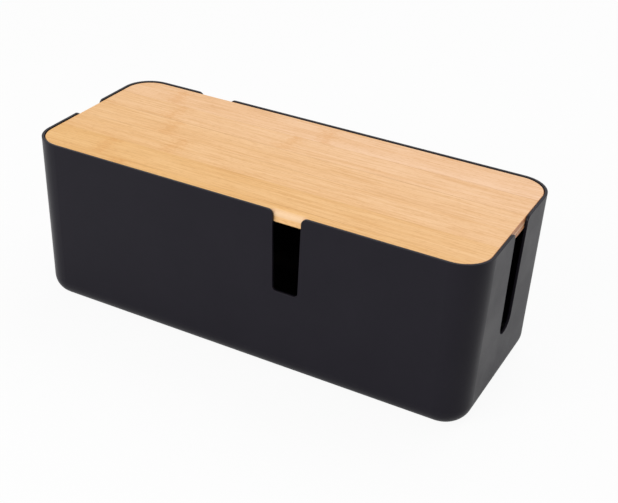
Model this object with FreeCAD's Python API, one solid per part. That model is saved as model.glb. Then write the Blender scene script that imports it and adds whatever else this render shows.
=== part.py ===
# A cable management box: a moulded open box with four cable slots and a drop-in bamboo lid.
# X runs along the box, +Y to its back and +Z up. The origin is under its centre, on the table.
import FreeCAD, Part
import math
import os
from FreeCAD import Vector

# Driving dimensions, in millimetres and degrees

# Moulded box, measured over the rim
BOX_LENGTH = 320.0
BOX_WIDTH = 130.0
BOX_HEIGHT = 119.3
CORNER_RADIUS = 21.0
WALL = 1.8
FLOOR = 2.6
DRAFT = 1.3
BOTTOM_ROUND = 13.3
RIM_ROUND = 0.25

# Cable slots, open at the rim, each measured there
FRONT_SLOT_X = 34.8
FRONT_SLOT_WIDTH = 19.7
FRONT_SLOT_DEPTH = 56.7
FRONT_SLOT_ROUND = 3.0
FRONT_SLOT_LEAN = 1.0
BACK_SLOT_X = -94.5
END_SLOT_Y = 0.0
DEEP_SLOT_WIDTH = 22.8
DEEP_SLOT_DEPTH = 77.6
DEEP_SLOT_ROUND = 9.0
DEEP_SLOT_LEAN = 1.6
SLOT_LIP_ROUND = 4.0

# Corner shelves that carry the lid, and the web under each
SHELF_REACH = 10.0
SHELF_THICKNESS = 2.5
WEB_THICKNESS = 1.8
WEB_HEIGHT = 12.0

# Lid, a board of two plies glued up from flat strips
LID_THICKNESS = 8.0
LID_RECESS = 0.5
LID_GAP = 0.3
LID_ARRIS = 0.4
STRIP_WIDTH = 23.0
FIRST_SEAM_Y = -9.4

# Thumb relief, a rounding of the lid's front edge in the front slot
RELIEF_RADIUS = 4.2
RELIEF_LENGTH = 30.0
RELIEF_FADE = 6.0

# Feet, each glued into a socket in the underside
FOOT_DIAMETER = 14.0
FOOT_THICKNESS = 2.0
FOOT_PROUD = 0.7
FOOT_ROUND = 0.5
FOOT_INSET = 16.0
FOOT_CLEARANCE = 0.2

# Working allowances: a cutter's run past what it cuts, its thinnest end, and how near counts as touching
SPARE = 2.0
THIN = 0.2
TOUCH = 1e-4

# Places that follow from the dimensions
RIM_Z = FOOT_PROUD + BOX_HEIGHT
LID_TOP_Z = RIM_Z - LID_RECESS
SHELF_Z = LID_TOP_Z - LID_THICKNESS


def lean(z):
    """How far each wall stands in from the rim's outline at height z."""
    return (RIM_Z - z) * math.tan(math.radians(DRAFT))


def corner_centre():
    """The axis of the front right corner's rounding, as X and Y distances from the middle."""
    return BOX_LENGTH / 2 - CORNER_RADIUS, BOX_WIDTH / 2 - CORNER_RADIUS


def outline(inset, z):
    """The box's plan at height z, drawn in by an inset: straight sides and four arcs."""
    middle_x, middle_y = corner_centre()
    radius = CORNER_RADIUS - inset
    edges = []
    for x, y, start in (
        (middle_x, middle_y, 0),
        (-middle_x, middle_y, 90),
        (-middle_x, -middle_y, 180),
        (middle_x, -middle_y, 270),
    ):
        arc = Part.makeCircle(radius, Vector(x, y, z), Vector(0, 0, 1), start, start + 90)
        if edges:
            edges.append(Part.makeLine(edges[-1].lastVertex().Point, arc.firstVertex().Point))
        edges.append(arc)
    edges.append(Part.makeLine(edges[-1].lastVertex().Point, edges[0].firstVertex().Point))
    return Part.Wire(edges)


def level_edges(shape, z):
    """Every edge of a shape that lies flat at height z."""
    return [e for e in shape.Edges if all(abs(p.z - z) < TOUCH for p in e.discretize(3))]


def drafted_body(inset, low, high, bottom_round):
    """A body that narrows downwards with the box's walls, rounded round its bottom edge."""
    body = Part.makeLoft([outline(inset + lean(low), low), outline(inset + lean(high), high)], True, True)
    return body.makeFillet(bottom_round, level_edges(body, low))


def slot_profile(width, depth, bottom_round, side_lean):
    """A slot seen square to its wall, as (across, up) points joined by lines and arcs.

    The lips at the rim and the corners at the bottom are tangent arcs.
    """
    slope = math.radians(side_lean)
    half_top = width / 2
    half_bottom = half_top - depth * math.tan(slope)
    bottom = RIM_Z - depth

    # Each arc's centre lies on the bisector of the two lines that it joins.
    turn = math.tan(math.radians(45) - slope / 2)
    lip_reach = SLOT_LIP_ROUND * turn
    corner_reach = bottom_round * turn

    def on_side(distance_from_top):
        return (half_top - distance_from_top * math.sin(slope), RIM_Z - distance_from_top * math.cos(slope))

    side_length = depth / math.cos(slope)
    lip_start = (half_top + lip_reach, RIM_Z)
    lip_end = on_side(lip_reach)
    corner_start = on_side(side_length - corner_reach)
    corner_end = (half_bottom - corner_reach, bottom)
    return lip_start, lip_end, corner_start, corner_end


def arc_through(start, end, centre, radius):
    """An arc from start to end that bulges away from its centre."""
    middle = (start + end) * 0.5 - centre
    middle.normalize()
    return Part.Arc(start, centre + middle * radius, end).toShape()


def slot_cutter(width, depth, bottom_round, side_lean):
    """The slot's cutter for a wall that faces -Y, centred on X = 0 and Y = 0."""
    lip_start, lip_end, corner_start, corner_end = slot_profile(width, depth, bottom_round, side_lean)
    reach = BOTTOM_ROUND

    def at(point, side=1):
        return Vector(side * point[0], -reach, point[1])

    lip_centre = Vector(lip_start[0], -reach, RIM_Z - SLOT_LIP_ROUND)
    corner_centre_point = Vector(corner_end[0], -reach, corner_end[1] + bottom_round)
    edges = []
    for side in (1, -1):
        lip = Vector(side * lip_centre.x, lip_centre.y, lip_centre.z)
        corner = Vector(side * corner_centre_point.x, corner_centre_point.y, corner_centre_point.z)
        edges.append(arc_through(at(lip_start, side), at(lip_end, side), lip, SLOT_LIP_ROUND))
        edges.append(Part.makeLine(at(lip_end, side), at(corner_start, side)))
        edges.append(arc_through(at(corner_start, side), at(corner_end, side), corner, bottom_round))
        edges.append(Part.makeLine(at(lip_start, side), at((lip_start[0], RIM_Z + SPARE), side)))
    edges.append(Part.makeLine(at(corner_end), at(corner_end, -1)))
    top = (lip_start[0], RIM_Z + SPARE)
    edges.append(Part.makeLine(at(top), at(top, -1)))
    face = Part.Face(Part.Wire(Part.__sortEdges__(edges)))
    return face.extrude(Vector(0, 2 * reach, 0))


def placed(shape, x, y, turn=0):
    """A shape turned about the Z axis and then moved to a place in plan."""
    copy = shape.copy()
    copy.rotate(Vector(0, 0, 0), Vector(0, 0, 1), turn)
    copy.translate(Vector(x, y, 0))
    return copy


def slot_cutters():
    """All four cable slots."""
    front = slot_cutter(FRONT_SLOT_WIDTH, FRONT_SLOT_DEPTH, FRONT_SLOT_ROUND, FRONT_SLOT_LEAN)
    deep = slot_cutter(DEEP_SLOT_WIDTH, DEEP_SLOT_DEPTH, DEEP_SLOT_ROUND, DEEP_SLOT_LEAN)
    return [
        placed(front, FRONT_SLOT_X, -BOX_WIDTH / 2),
        placed(deep, BACK_SLOT_X, BOX_WIDTH / 2),
        placed(deep, BOX_LENGTH / 2, END_SLOT_Y, 90),
        placed(deep, -BOX_LENGTH / 2, END_SLOT_Y, 90),
    ]


def corner_shelf():
    """One shelf and its web, in a frame whose +X points out along the corner's diagonal.

    Its zero is the axis of the corner's rounding.
    """
    wall_at = CORNER_RADIUS - lean(SHELF_Z)
    inner_edge = wall_at - WALL - SHELF_REACH
    shelf = Part.makeBox(
        wall_at - WALL / 2 - inner_edge,
        2 * BOX_WIDTH,
        SHELF_THICKNESS,
        Vector(inner_edge, -BOX_WIDTH, SHELF_Z - SHELF_THICKNESS),
    )
    low = SHELF_Z - SHELF_THICKNESS - WEB_HEIGHT
    high = SHELF_Z - SHELF_THICKNESS / 2
    out = wall_at - WALL / 2 - lean(low) + lean(high)
    web_outline = Part.makePolygon(
        [
            Vector(inner_edge, -WEB_THICKNESS / 2, high),
            Vector(out, -WEB_THICKNESS / 2, high),
            Vector(out, -WEB_THICKNESS / 2, low),
            Vector(inner_edge, -WEB_THICKNESS / 2, high),
        ]
    )
    web = Part.Face(web_outline).extrude(Vector(0, WEB_THICKNESS, 0))
    return shelf, web


def corner_shelves():
    """The four shelves, each cut off inside the thickness of the wall that it grows from."""
    middle_x, middle_y = corner_centre()
    diagonal = 45
    limit = drafted_body(WALL / 2, FOOT_PROUD + FLOOR / 2, RIM_Z, BOTTOM_ROUND - WALL / 2)
    shapes = []
    for x, y, turn in (
        (middle_x, middle_y, diagonal),
        (-middle_x, middle_y, 180 - diagonal),
        (-middle_x, -middle_y, 180 + diagonal),
        (middle_x, -middle_y, -diagonal),
    ):
        for piece in corner_shelf():
            shapes.append(placed(piece, x, y, turn).common(limit))
    return shapes


def depth_in(point):
    """How far a point stands in from the box's outer skin, measured in plan."""
    inset = lean(point.z)
    middle_x, middle_y = corner_centre()
    past_x = abs(point.x) - middle_x
    past_y = abs(point.y) - middle_y
    if past_x > 0 and past_y > 0:
        return CORNER_RADIUS - inset - math.hypot(past_x, past_y)
    return min(BOX_LENGTH / 2 - abs(point.x), BOX_WIDTH / 2 - abs(point.y)) - inset


def lies_on_skin(edge, inset):
    """Whether an edge runs along the wall's outer skin, or along its inner one."""
    return all(abs(depth_in(point) - inset) < TOUCH for point in edge.discretize(5))


def rim_edges(box):
    """The two edges of every face that crosses the wall's thickness, at the rim and in the slots."""
    found = []
    for face in box.Faces:
        outer = [edge for edge in face.Edges if lies_on_skin(edge, 0)]
        inner = [edge for edge in face.Edges if lies_on_skin(edge, WALL)]
        if outer and inner:
            found += outer + inner
    return found


def foot_places():
    """The centres of the four feet, set in from the edge of the flat underside."""
    flat = lean(FOOT_PROUD) + BOTTOM_ROUND + FOOT_INSET - FOOT_DIAMETER / 2
    x = BOX_LENGTH / 2 - flat
    y = BOX_WIDTH / 2 - flat
    return [(x, -y), (x, y), (-x, y), (-x, -y)]


def moulded_box():
    """The box in one moulding: walls, floor, slots, lid shelves and foot sockets."""
    outside = drafted_body(0, FOOT_PROUD, RIM_Z, BOTTOM_ROUND)
    inside = drafted_body(WALL, FOOT_PROUD + FLOOR, RIM_Z + SPARE, BOTTOM_ROUND - WALL)
    box = outside.cut(inside)
    for shape in corner_shelves():
        box = box.fuse(shape)
    for cutter in slot_cutters():
        box = box.cut(cutter)
    box = box.removeSplitter()
    box = box.makeFillet(RIM_ROUND, rim_edges(box))
    socket_radius = FOOT_DIAMETER / 2 + FOOT_CLEARANCE
    for x, y in foot_places():
        box = box.cut(Part.makeCylinder(socket_radius, FOOT_THICKNESS, Vector(x, y, 0)))
    return box


def relief_section(x, radius):
    """What a rounding of this radius takes off the lid's top front edge, as an outline across X."""
    front = lean(SHELF_Z) + WALL + LID_GAP - BOX_WIDTH / 2
    centre = Vector(x, front + radius, LID_TOP_Z - radius)
    low = Vector(x, front, centre.z)
    high = Vector(x, centre.y, LID_TOP_Z)
    corners = [
        high,
        Vector(x, centre.y, LID_TOP_Z + SPARE),
        Vector(x, front - SPARE, LID_TOP_Z + SPARE),
        Vector(x, front - SPARE, centre.z),
        low,
    ]
    edges = [arc_through(low, high, centre, radius)]
    edges += [Part.makeLine(start, end) for start, end in zip(corners, corners[1:])]
    return Part.Wire(edges)


def thumb_relief():
    """The cutter of the thumb relief, full in its middle and fading out behind the wall at both ends."""
    half = RELIEF_LENGTH / 2
    full = half - RELIEF_FADE
    sections = [
        relief_section(FRONT_SLOT_X + offset, radius)
        for offset, radius in ((-half, THIN), (-full, RELIEF_RADIUS), (full, RELIEF_RADIUS), (half, THIN))
    ]
    return Part.makeLoft(sections, True, True)


def lid_board():
    """The whole lid before it is divided into its strips."""
    inset = lean(SHELF_Z) + WALL + LID_GAP
    board = Part.Face(outline(inset, SHELF_Z)).extrude(Vector(0, 0, LID_THICKNESS))
    arrises = level_edges(board, SHELF_Z) + level_edges(board, LID_TOP_Z)
    return board.makeFillet(LID_ARRIS, arrises).cut(thumb_relief())


def seams(first):
    """The glue lines of one ply from front to back, with the lid's own two edges."""
    edge = BOX_WIDTH / 2 - lean(SHELF_Z) - WALL - LID_GAP
    count_before = math.floor((first + edge) / STRIP_WIDTH)
    y = first - count_before * STRIP_WIDTH
    lines = [-edge - SPARE]
    while y < edge:
        lines.append(y)
        y += STRIP_WIDTH
    return lines + [edge + SPARE]


def ply_strips(board, first_seam, low, high):
    """One ply's strips, from front to back."""
    lines = seams(first_seam)
    strips = []
    for near, far in zip(lines, lines[1:]):
        slab = Part.makeBox(BOX_LENGTH, far - near, high - low, Vector(-BOX_LENGTH / 2, near, low))
        strips.append(board.common(slab))
    return strips


def lid_strips():
    """Every strip of the lid by name, the lower ply's glue lines midway between the upper ply's."""
    board = lid_board()
    middle = SHELF_Z + LID_THICKNESS / 2
    upper = ply_strips(board, FIRST_SEAM_Y, middle, LID_TOP_Z)
    lower = ply_strips(board, FIRST_SEAM_Y + STRIP_WIDTH / 2, SHELF_Z, middle)
    named = {}
    for number, strip in enumerate(upper, 1):
        named[f"lid_top_strip_{number}"] = strip
    for number, strip in enumerate(lower, 1):
        named[f"lid_under_strip_{number}"] = strip
    return named


def foot(x, y):
    """One rubber foot, rounded at the edge that stands on the table."""
    disc = Part.makeCylinder(FOOT_DIAMETER / 2, FOOT_THICKNESS, Vector(x, y, 0))
    return disc.makeFillet(FOOT_ROUND, level_edges(disc, 0))


def feet():
    """The four feet by name."""
    names = ("foot_front_right", "foot_back_right", "foot_back_left", "foot_front_left")
    return {name: foot(x, y) for name, (x, y) in zip(names, foot_places())}


def main():
    os.makedirs("parts", exist_ok=True)
    pieces = {"box_shell": moulded_box()}
    pieces.update(lid_strips())
    pieces.update(feet())
    for name, shape in pieces.items():
        shape.exportStep(f"parts/{name}.step")
        print(f"{name}: {len(shape.Solids)} solid, valid {shape.isValid()}, volume {shape.Volume:.0f}")


main()
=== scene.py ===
# Dresses the cable management box: matte moulded plastic, a laminated bamboo lid, rubber feet.
import math

import bpy
from mathutils import Matrix, Vector


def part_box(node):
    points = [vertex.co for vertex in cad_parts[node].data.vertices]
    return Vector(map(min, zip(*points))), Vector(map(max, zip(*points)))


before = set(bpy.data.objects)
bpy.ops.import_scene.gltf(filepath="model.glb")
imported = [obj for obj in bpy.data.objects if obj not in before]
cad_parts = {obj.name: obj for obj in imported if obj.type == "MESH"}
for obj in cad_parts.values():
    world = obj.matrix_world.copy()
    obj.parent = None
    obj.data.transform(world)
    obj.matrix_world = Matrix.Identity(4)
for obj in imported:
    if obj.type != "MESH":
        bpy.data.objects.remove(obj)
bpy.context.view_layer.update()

MM = 0.001

# Camera, fitted to the photograph's outline: its place and aim from the middle of the moulded box
AZIMUTH = 26.738
ELEVATION = 30.211
ROLL = 2.857
DISTANCE = 802.81 * MM
PAN_RIGHT = -15.943 * MM
PAN_UP = 7.593 * MM
FOCAL_PIXELS = 1191.19
PHOTO_WIDTH = 618
SENSOR = 36.0


def add_camera():
    """The photograph's viewpoint."""
    azimuth, elevation, roll = (math.radians(a) for a in (AZIMUTH, ELEVATION, ROLL))
    level_part = math.cos(elevation)
    back = Vector((
        math.sin(azimuth) * level_part,
        -math.cos(azimuth) * level_part,
        math.sin(elevation),
    ))
    level = Vector((math.cos(azimuth), math.sin(azimuth), 0))
    upright = back.cross(level)
    right = level * math.cos(roll) + upright * math.sin(roll)
    up = upright * math.cos(roll) - level * math.sin(roll)
    low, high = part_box("box_shell")
    target = (low + high) / 2
    place = target + back * DISTANCE - right * PAN_RIGHT - up * PAN_UP
    data = bpy.data.cameras.new("camera")
    data.sensor_fit = "HORIZONTAL"
    data.sensor_width = SENSOR
    data.lens = SENSOR * FOCAL_PIXELS / PHOTO_WIDTH
    camera = bpy.data.objects.new("camera", data)
    turn = Matrix((right, up, back)).transposed()
    camera.matrix_world = Matrix.Translation(place) @ turn.to_4x4()
    bpy.context.scene.collection.objects.link(camera)
    bpy.context.scene.camera = camera


# Nodes of a material. A Mix node has sockets for every kind of data; these are its colour ones.
MIX_FIRST = 6
MIX_SECOND = 7
MIX_RESULT = 2


def new_material(name):
    """An empty node material with its output and one Principled shader."""
    material = bpy.data.materials.new(name)
    material.use_nodes = True
    tree = material.node_tree
    tree.nodes.clear()
    output = tree.nodes.new("ShaderNodeOutputMaterial")
    shader = tree.nodes.new("ShaderNodeBsdfPrincipled")
    tree.links.new(shader.outputs["BSDF"], output.inputs["Surface"])
    return material, tree, shader


def link(tree, source, target):
    """Joins an output socket to an input socket, or sets the input to a value."""
    if isinstance(source, bpy.types.NodeSocket):
        tree.links.new(source, target)
    else:
        target.default_value = source


def math_node(tree, operation, first, second=0.0, third=0.0):
    node = tree.nodes.new("ShaderNodeMath")
    node.operation = operation
    for value, socket in zip((first, second, third), node.inputs):
        link(tree, value, socket)
    return node.outputs[0]


def noise(tree, vector, detail=2.0, roughness=0.5, distortion=0.0):
    node = tree.nodes.new("ShaderNodeTexNoise")
    link(tree, vector, node.inputs["Vector"])
    node.inputs["Scale"].default_value = 1.0
    node.inputs["Detail"].default_value = detail
    node.inputs["Roughness"].default_value = roughness
    node.inputs["Distortion"].default_value = distortion
    return node.outputs["Fac"]


def mapped(tree, vector, cycles, shift=(0, 0, 0)):
    """A vector scaled to cycles per metre along each axis, and then shifted by some cycles."""
    node = tree.nodes.new("ShaderNodeMapping")
    node.vector_type = "POINT"
    link(tree, vector, node.inputs["Vector"])
    node.inputs["Location"].default_value = shift
    node.inputs["Scale"].default_value = cycles
    return node.outputs["Vector"]


def ramp(tree, value, low, high, to_low=0.0, to_high=1.0):
    """Maps low..high smoothly to to_low..to_high and holds it beyond."""
    node = tree.nodes.new("ShaderNodeMapRange")
    node.interpolation_type = "SMOOTHSTEP"
    link(tree, value, node.inputs["Value"])
    limits = {"From Min": low, "From Max": high, "To Min": to_low, "To Max": to_high}
    for name, number in limits.items():
        node.inputs[name].default_value = number
    return node.outputs["Result"]


def mix(tree, factor, first, second, blend="MIX"):
    node = tree.nodes.new("ShaderNodeMix")
    node.data_type = "RGBA"
    node.blend_type = blend
    link(tree, factor, node.inputs["Factor"])
    for value, place in ((first, MIX_FIRST), (second, MIX_SECOND)):
        colour = value if isinstance(value, bpy.types.NodeSocket) else (*value, 1)
        link(tree, colour, node.inputs[place])
    return node.outputs[MIX_RESULT]


def bump(tree, shader, height, distance, strength):
    node = tree.nodes.new("ShaderNodeBump")
    node.inputs["Strength"].default_value = strength
    node.inputs["Distance"].default_value = distance
    link(tree, height, node.inputs["Height"])
    link(tree, node.outputs["Normal"], shader.inputs["Normal"])


def texture_coordinates(tree):
    """The outputs of a Texture Coordinate node."""
    return tree.nodes.new("ShaderNodeTexCoord").outputs


def split(tree, vector):
    """The X, Y and Z of a vector."""
    node = tree.nodes.new("ShaderNodeSeparateXYZ")
    link(tree, vector, node.inputs[0])
    return node.outputs


# Moulded plastic
PLASTIC_DARK = (0.0110, 0.0098, 0.0148)
PLASTIC_LIGHT = (0.0146, 0.0131, 0.0188)
PLASTIC_GRAIN_CYCLES = (1400, 1400, 1400)
PLASTIC_CLOUD_CYCLES = (22, 22, 22)
PLASTIC_CLOUD = (0.3, 0.7)
PLASTIC_ROUGHNESS = (0.28, 0.36)
PLASTIC_SPECULAR = 0.11
PLASTIC_BUMP = dict(distance=0.00006, strength=0.35)


def moulded_plastic():
    """Near-black plastic with a fine spark-eroded texture and a soft, cloudy sheen."""
    material, tree, shader = new_material("moulded_black")
    coordinates = texture_coordinates(tree)["Object"]
    grain = noise(tree, mapped(tree, coordinates, PLASTIC_GRAIN_CYCLES), detail=3, roughness=0.6)
    cloud = noise(tree, mapped(tree, coordinates, PLASTIC_CLOUD_CYCLES), detail=4, roughness=0.6)
    link(tree, mix(tree, cloud, PLASTIC_DARK, PLASTIC_LIGHT), shader.inputs["Base Color"])
    roughness = ramp(tree, cloud, *PLASTIC_CLOUD, *PLASTIC_ROUGHNESS)
    link(tree, roughness, shader.inputs["Roughness"])
    shader.inputs["Specular IOR Level"].default_value = PLASTIC_SPECULAR
    bump(tree, shader, grain, **PLASTIC_BUMP)
    return material


# Bamboo: honey at the front of the lid, paler and pinker towards its back and its right end,
# partly the strips' own tone and partly a painted sheen where the light falls from the back right.
# Paleness, partly tone and partly painted sheen, is a strip's share of PALE at the middle of its
# length, seam is how dark the glue line behind it is, and knuckles are places along X in metres.
HONEY = (0.840, 0.500, 0.195)
PALE = (0.915, 0.594, 0.378)
# Painted sheen mixed with tone: the strips grow paler towards the lid's right end.
SHEEN_AND_PALENESS_TO_THE_RIGHT = 1.0
STRIP_LOOKS = {
    "lid_top_strip_1": dict(paleness_and_sheen=0.05, seed=1, knuckles=(-0.090,), seam=0.55),
    "lid_top_strip_2": dict(paleness_and_sheen=0.15, seed=2, knuckles=(-0.112,), seam=0.25),
    "lid_top_strip_3": dict(paleness_and_sheen=0.40, seed=3, knuckles=(-0.074,), seam=0.50),
    "lid_top_strip_4": dict(paleness_and_sheen=0.45, seed=4, knuckles=(-0.092,), seam=0.90),
    "lid_top_strip_5": dict(paleness_and_sheen=0.60, seed=5, knuckles=(-0.103, -0.012), seam=0.60),
    "lid_top_strip_6": dict(paleness_and_sheen=0.80, seed=6, knuckles=(-0.115, 0.005), seam=0.30),
    "lid_top_strip_7": dict(paleness_and_sheen=0.80, seed=7, knuckles=(0.090,), seam=0.0),
}
UNDER_LOOK = dict(paleness_and_sheen=0.2, seam=0.4)
UNDER_SEEDS_AFTER = 20
UNDER_KNUCKLE_START = -0.12
UNDER_KNUCKLE_STEP = 0.03
SHIFT_PER_SEED = (3.17, 7.31, 1.73)

# The figure's layers in the order in which they are laid on: the noise's cycles per metre along
# X, Y and Z and its settings, the values between which the layer sets in, how far it goes, and
# what it multiplies the wood's colour by
FIGURE = {
    "band": dict(cycles=(5, 120, 80), detail=2, roughness=0.5,
                 limits=(0.35, 0.70), share=0.60, shade=(0.95, 0.90, 0.80)),
    "streak": dict(cycles=(14, 420, 260), detail=3, roughness=0.6,
                   limits=(0.38, 0.68), share=0.62, shade=(0.93, 0.87, 0.76)),
    "fibre": dict(cycles=(30, 950, 600), detail=4, roughness=0.6,
                  limits=(0.45, 0.62), share=0.75, shade=(0.88, 0.80, 0.66)),
    "pore": dict(cycles=(240, 1200, 800), detail=1, roughness=0.5,
                 limits=(0.55, 0.66), share=0.35, shade=(0.82, 0.70, 0.52)),
    "stain": dict(cycles=(18, 70, 70), detail=3, roughness=0.55,
                  limits=(0.55, 0.75), share=0.45, shade=(0.93, 0.85, 0.70)),
}

# Knuckles. Band and reach are distances along the strip in metres, from full to none.
KNUCKLE_SHADE = (0.92, 0.81, 0.63)
KNUCKLE_WANDER_CYCLES = (0, 45, 45)
KNUCKLE_WANDER = 0.012
NOISE_MIDDLE = 0.5
KNUCKLE_BAND = (0.0005, 0.0055)
KNUCKLE_BAND_SHARE = 0.38
KNUCKLE_CURL_CYCLES = (300, 560, 560)
KNUCKLE_CURL_REACH = (0.003, 0.013)
KNUCKLE_CURL_LIMITS = (0.42, 0.62)
KNUCKLE_CURL_SHARE = 0.60

# The glue line behind a strip, uneven along its length. Its reach is in metres, from full to none.
SEAM_SHADE = (0.62, 0.48, 0.34)
SEAM_REACH = (0.0001, 0.0006)
SEAM_CYCLES = (13, 3, 3)
SEAM_LIMITS = (0.35, 0.62)
SEAM_FAINTEST = 0.25

# Cut ends, told by how far the surface leans towards X, and the upper ply's edges painted paler
# where
# they lean towards Y: partly the ply's paler tone, partly a painted highlight. The pale glue
# between the plies reaches up and down from it, in metres.
END_GRAIN_DARK = (0.50, 0.205, 0.090)
END_GRAIN_PALE = (0.78, 0.40, 0.19)
END_GRAIN_CYCLES = (40, 1500, 1500)
END_GRAIN_LIMITS = (0.42, 0.70)
END_LEAN = (0.15, 0.5)
PLY_GLUE = (0.88, 0.61, 0.39)
PLY_GLUE_REACH = (0.0002, 0.0008)
PLY_GLUE_SHARE = 0.8
# The colour of the upper ply's edges facing along Y: partly its paler tone, partly a painted
# highlight.
PALE_EDGE_AND_HIGHLIGHT = (0.88, 0.63, 0.41)
HIGHLIGHTED_EDGE_LEAN = (0.1, 0.7)
HIGHLIGHTED_EDGE_SHARE = 0.6

BAMBOO_SHEEN = (0.3, 0.7)
BAMBOO_ROUGHNESS = (0.42, 0.50)
BAMBOO_SPECULAR = 0.38
BAMBOO_BUMP = dict(distance=0.00008, strength=0.3)


def shaded(tree, factor, colour, shade):
    """A colour multiplied by a shade where the factor is one."""
    return mix(tree, factor, colour, shade, blend="MULTIPLY")


def figured(tree, coordinates, colour, shift):
    """The colour under the figure's layers, and each layer's noise."""
    noises = {}
    for layer, look in FIGURE.items():
        vector = mapped(tree, coordinates, look["cycles"], shift)
        noises[layer] = noise(tree, vector, look["detail"], look["roughness"])
        strength = ramp(tree, noises[layer], *look["limits"], 0.0, look["share"])
        colour = shaded(tree, strength, colour, look["shade"])
    return colour, noises


def knuckled(tree, coordinates, x, colour, shift, places):
    """The strip's knuckles: soft darker bands across the fibres, with curled figure beside them."""
    wander = noise(tree, mapped(tree, coordinates, KNUCKLE_WANDER_CYCLES, shift), detail=1)
    curl_vector = mapped(tree, coordinates, KNUCKLE_CURL_CYCLES, shift)
    curl = noise(tree, curl_vector, detail=3, roughness=0.6, distortion=0.6)
    for place in places:
        straight = math_node(tree, "SUBTRACT", x, place)
        off_middle = math_node(tree, "SUBTRACT", wander, NOISE_MIDDLE)
        wavy = math_node(tree, "MULTIPLY_ADD", off_middle, KNUCKLE_WANDER, straight)
        reach = math_node(tree, "ABSOLUTE", wavy)
        band = ramp(tree, reach, *KNUCKLE_BAND, KNUCKLE_BAND_SHARE, 0.0)
        colour = shaded(tree, band, colour, KNUCKLE_SHADE)
        beside = ramp(tree, reach, *KNUCKLE_CURL_REACH, 1.0, 0.0)
        curled = ramp(tree, curl, *KNUCKLE_CURL_LIMITS, 0.0, KNUCKLE_CURL_SHARE)
        figure = math_node(tree, "MULTIPLY", beside, curled)
        colour = shaded(tree, figure, colour, KNUCKLE_SHADE)
    return colour


def seamed(tree, coordinates, y, back_y, colour, shift, seam):
    """The dark glue line along the strip's back edge."""
    to_seam = math_node(tree, "SUBTRACT", back_y, y)
    line = ramp(tree, to_seam, *SEAM_REACH, seam, 0.0)
    uneven = noise(tree, mapped(tree, coordinates, SEAM_CYCLES, shift), detail=2)
    strength = ramp(tree, uneven, *SEAM_LIMITS, SEAM_FAINTEST, 1.0)
    return shaded(tree, math_node(tree, "MULTIPLY", line, strength), colour, SEAM_SHADE)


def end_grain(tree, coordinates, z, glue_z, shift):
    """Cut fibre ends, brown with paler dots, and the pale glue between the two plies."""
    vector = mapped(tree, coordinates, END_GRAIN_CYCLES, shift)
    dots = noise(tree, vector, detail=2, roughness=0.7)
    colour = mix(tree, ramp(tree, dots, *END_GRAIN_LIMITS), END_GRAIN_DARK, END_GRAIN_PALE)
    to_glue = math_node(tree, "ABSOLUTE", math_node(tree, "SUBTRACT", z, glue_z))
    return mix(tree, ramp(tree, to_glue, *PLY_GLUE_REACH, PLY_GLUE_SHARE, 0.0), colour, PLY_GLUE)


def bamboo(name, paleness_and_sheen, seed, knuckles, seam):
    """One strip: fine straight fibres along X, a knuckle or two, and the glue line behind it."""
    material, tree, shader = new_material("bamboo_" + name)
    low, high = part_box(name)
    texture = texture_coordinates(tree)
    coordinates = texture["Object"]
    shift = tuple(seed * step for step in SHIFT_PER_SEED)
    x, y, z = split(tree, coordinates)

    # Painted sheen mixed with tone: paler towards the right end, and towards the back through the
    # strip's paleness.
    pale = math_node(tree, "MULTIPLY_ADD", x, SHEEN_AND_PALENESS_TO_THE_RIGHT, paleness_and_sheen)
    colour, noises = figured(tree, coordinates, mix(tree, pale, HONEY, PALE), shift)
    colour = knuckled(tree, coordinates, x, colour, shift, knuckles)
    colour = seamed(tree, coordinates, y, high.y, colour, shift, seam)

    upper_ply = name.startswith("lid_top")
    normal = split(tree, texture["Normal"])
    # Painted highlight, partly the ply's paler tone: the upper ply's edges facing along Y are mixed
    # paler.
    if upper_ply:
        lean_y = math_node(tree, "ABSOLUTE", normal["Y"])
        pale_edge_and_highlight = ramp(tree, lean_y, *HIGHLIGHTED_EDGE_LEAN, 0.0, HIGHLIGHTED_EDGE_SHARE)
        colour = mix(tree, pale_edge_and_highlight, colour, PALE_EDGE_AND_HIGHLIGHT)
    lean_x = math_node(tree, "ABSOLUTE", normal["X"])
    ends = end_grain(tree, coordinates, z, low.z if upper_ply else high.z, shift)
    colour = mix(tree, ramp(tree, lean_x, *END_LEAN), colour, ends)
    link(tree, colour, shader.inputs["Base Color"])

    roughness = ramp(tree, noises["streak"], *BAMBOO_SHEEN, *BAMBOO_ROUGHNESS)
    link(tree, roughness, shader.inputs["Roughness"])
    shader.inputs["Specular IOR Level"].default_value = BAMBOO_SPECULAR
    bump(tree, shader, noises["fibre"], **BAMBOO_BUMP)
    return material


# Rubber
RUBBER_DARK = (0.02, 0.02, 0.02)
RUBBER_DUSTY = (0.05, 0.05, 0.048)
RUBBER_SPECK_CYCLES = (900, 900, 900)
RUBBER_SPECK_LIMITS = (0.45, 0.8)
RUBBER_ROUGHNESS = 0.8
RUBBER_BUMP = dict(distance=0.0001, strength=0.4)


def foot_rubber():
    """Matte black rubber with a dusty bloom."""
    material, tree, shader = new_material("foot_rubber")
    coordinates = texture_coordinates(tree)["Object"]
    speck = noise(tree, mapped(tree, coordinates, RUBBER_SPECK_CYCLES), detail=4, roughness=0.7)
    dusty = ramp(tree, speck, *RUBBER_SPECK_LIMITS)
    link(tree, mix(tree, dusty, RUBBER_DARK, RUBBER_DUSTY), shader.inputs["Base Color"])
    shader.inputs["Roughness"].default_value = RUBBER_ROUGHNESS
    bump(tree, shader, speck, **RUBBER_BUMP)
    return material


def dress(node, material):
    """Gives a carried-over node its material."""
    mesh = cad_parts[node].data
    mesh.materials.clear()
    mesh.materials.append(material)


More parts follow.
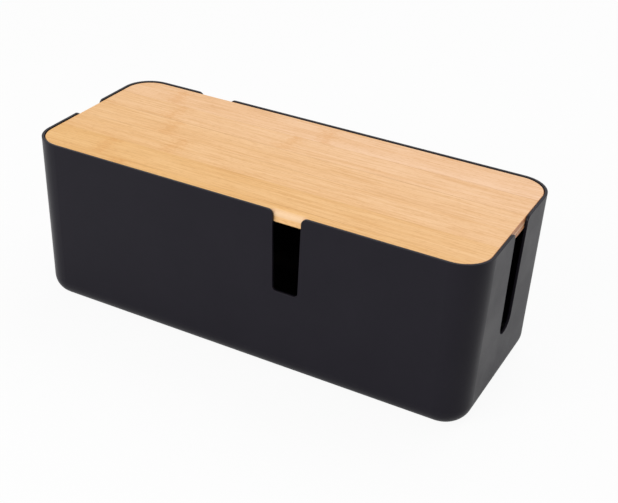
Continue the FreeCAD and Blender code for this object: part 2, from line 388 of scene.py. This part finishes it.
def dress_all():
    """Plastic for the box, one rubber for the feet, and a look of its own for every strip."""
    dress("box_shell", moulded_plastic())
    rubber = foot_rubber()
    for name in sorted(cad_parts):
        if name.startswith("foot_"):
            dress(name, rubber)
        if name.startswith("lid_top_strip"):
            dress(name, bamboo(name, **STRIP_LOOKS[name]))
        if name.startswith("lid_under_strip"):
            number = int(name.rsplit("_", 1)[1])
            knuckle = UNDER_KNUCKLE_START + UNDER_KNUCKLE_STEP * number
            seed = UNDER_SEEDS_AFTER + number
            dress(name, bamboo(name, seed=seed, knuckles=(knuckle,), **UNDER_LOOK))


# Studio: the softboxes' places and sizes in metres
FLOOR_SIZE = 12.0
FLOOR_COLOUR = (0.8, 0.8, 0.8, 1)
FLOOR_ROUGHNESS = 0.9
FLOOR_SPECULAR = 0.1
FLOOR_GLOW = 1.0
FLOOR_WHITENESS = 0.93
FLOOR_MIRRORED = 0.25
WORLD_COLOUR = (1, 1, 1, 1)
WORLD_LEVEL = 0.45
SOFTBOXES = {
    "top_softbox": dict(place=(0.3, 0.7, 1.5), width=1.4, depth=1.0, watts=10.5),
    "front_softbox": dict(place=(-0.45, -1.45, 0.95), width=1.2, depth=0.8, watts=17.5),
}
LIT_HEIGHT = 0.1


def seen_directly(tree, mirrored=1.0):
    """One for what the camera or glass sees, a share for a reflection, and nought for light."""
    path = tree.nodes.new("ShaderNodeLightPath")
    reflected = math_node(tree, "MULTIPLY", path.outputs["Is Glossy Ray"], mirrored)
    seen = math_node(tree, "MAXIMUM", path.outputs["Is Camera Ray"], reflected)
    return math_node(tree, "MAXIMUM", seen, path.outputs["Is Transmission Ray"])


def add_floor():
    """A plain pale floor that keeps a faint shadow."""
    bpy.ops.object.select_all(action="DESELECT")
    bpy.ops.mesh.primitive_plane_add(size=FLOOR_SIZE, location=(0, 0, 0))
    floor = bpy.context.object
    floor.name = "floor"
    material, tree, shader = new_material("floor")
    shader.inputs["Base Color"].default_value = FLOOR_COLOUR
    shader.inputs["Roughness"].default_value = FLOOR_ROUGHNESS
    shader.inputs["Specular IOR Level"].default_value = FLOOR_SPECULAR
    glow = tree.nodes.new("ShaderNodeEmission")
    glow.inputs["Strength"].default_value = FLOOR_GLOW
    both = tree.nodes.new("ShaderNodeMixShader")
    seen = seen_directly(tree, FLOOR_MIRRORED)
    link(tree, math_node(tree, "MULTIPLY", seen, FLOOR_WHITENESS), both.inputs["Fac"])
    link(tree, shader.outputs["BSDF"], both.inputs[1])
    link(tree, glow.outputs["Emission"], both.inputs[2])
    output = tree.nodes["Material Output"]
    link(tree, both.outputs["Shader"], output.inputs["Surface"])
    floor.data.materials.append(material)


def add_world():
    """White where it is seen, and a softer level as light."""
    world = bpy.data.worlds.new("studio")
    bpy.context.scene.world = world
    world.use_nodes = True
    tree = world.node_tree
    background = tree.nodes["Background"]
    background.inputs["Color"].default_value = WORLD_COLOUR
    strength = ramp(tree, seen_directly(tree), 0.0, 1.0, WORLD_LEVEL, 1.0)
    link(tree, strength, background.inputs["Strength"])


def add_softbox(name, place, width, depth, watts):
    """A large soft lamp, turned to the object."""
    data = bpy.data.lights.new(name, "AREA")
    data.shape = "RECTANGLE"
    data.size = width
    data.size_y = depth
    data.energy = watts
    lamp = bpy.data.objects.new(name, data)
    direction = Vector((0, 0, LIT_HEIGHT)) - Vector(place)
    turn = direction.to_track_quat("-Z", "Y").to_matrix()
    lamp.matrix_world = Matrix.Translation(place) @ turn.to_4x4()
    bpy.context.scene.collection.objects.link(lamp)


add_camera()
dress_all()
add_floor()
add_world()
for softbox, settings in SOFTBOXES.items():
    add_softbox(softbox, **settings)
bpy.context.scene.view_settings.view_transform = "Standard"
